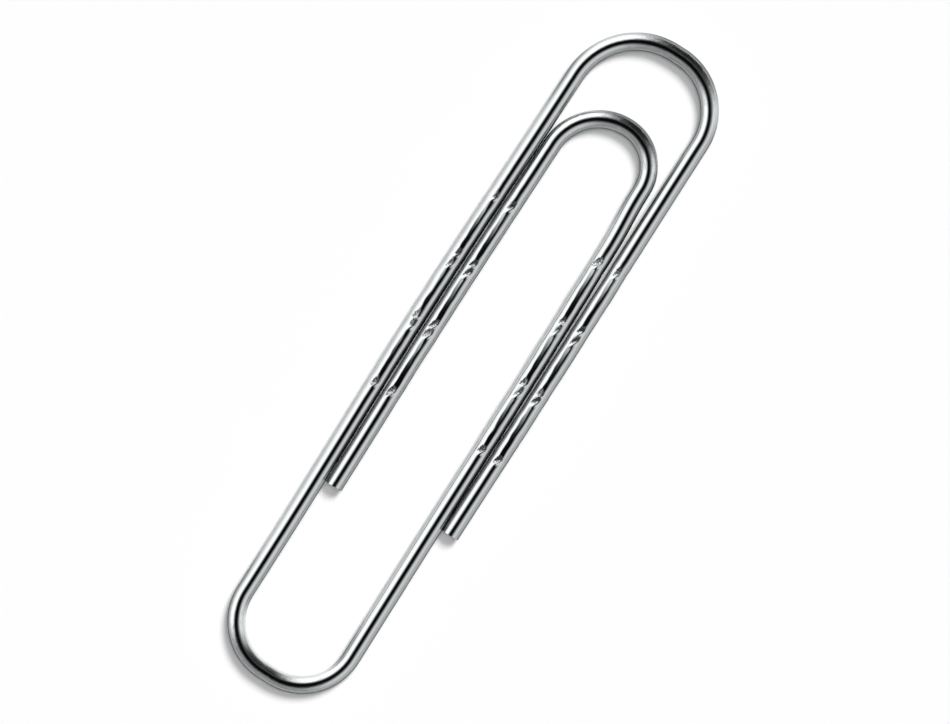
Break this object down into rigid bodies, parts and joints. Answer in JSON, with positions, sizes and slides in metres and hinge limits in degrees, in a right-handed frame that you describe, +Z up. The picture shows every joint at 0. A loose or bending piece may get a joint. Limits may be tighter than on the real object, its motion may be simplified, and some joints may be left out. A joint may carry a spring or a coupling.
{
  "type": "paper clip",
  "caption": "Paper clip bent from bright round steel wire into nested loops, with small pressed grip notches; its springy tongue pinches sheets against the outer loop.",
  "frame": {"origin": "under the middle of the clip's outline, on the surface that it lies flat on", "axes": "+Z up out of the flat clip, +Y along the legs towards the outer bend, +X across to the outer leg"},
  "size_m": [0.0106, 0.05, 0.0012],
  "materials": {
    "plated_wire": "polished"
  },
  "bodies": {
    "back_arm": {"back_leg": "plated_wire", "outer_bend_back_half": "plated_wire", "bottom_bend_back_half": "plated_wire"},
    "outer_arm": {"outer_leg": "plated_wire", "outer_bend_outer_half": "plated_wire"},
    "tongue": {"tongue_leg": "plated_wire", "bottom_bend_tongue_half": "plated_wire", "inner_bend_tongue_half": "plated_wire"},
    "inner_arm": {"inner_leg": "plated_wire", "inner_bend_inner_half": "plated_wire"}
  },
  "joints": [
    {"name": "tongue_lift", "type": "hinge", "parent": "back_arm", "child": "tongue", "pos_m": [-0.00058, -0.0244, 0.0006], "axis": [1, 0, 0], "range_deg": [-12, 12], "stiffness_Nm_per_rad": 0.45},
    {"name": "outer_leg_lift", "type": "hinge", "parent": "back_arm", "child": "outer_arm", "pos_m": [0.00025, 0.0244, 0.0006], "axis": [-1, 0, 0], "range_deg": [-8, 8], "stiffness_Nm_per_rad": 0.75},
    {"name": "inner_leg_lift", "type": "hinge", "parent": "tongue", "child": "inner_arm", "pos_m": [0.00023, 0.0186, 0.0006], "axis": [-1, 0, 0], "range_deg": [-6, 6], "stiffness_Nm_per_rad": 0.95}
  ]
}
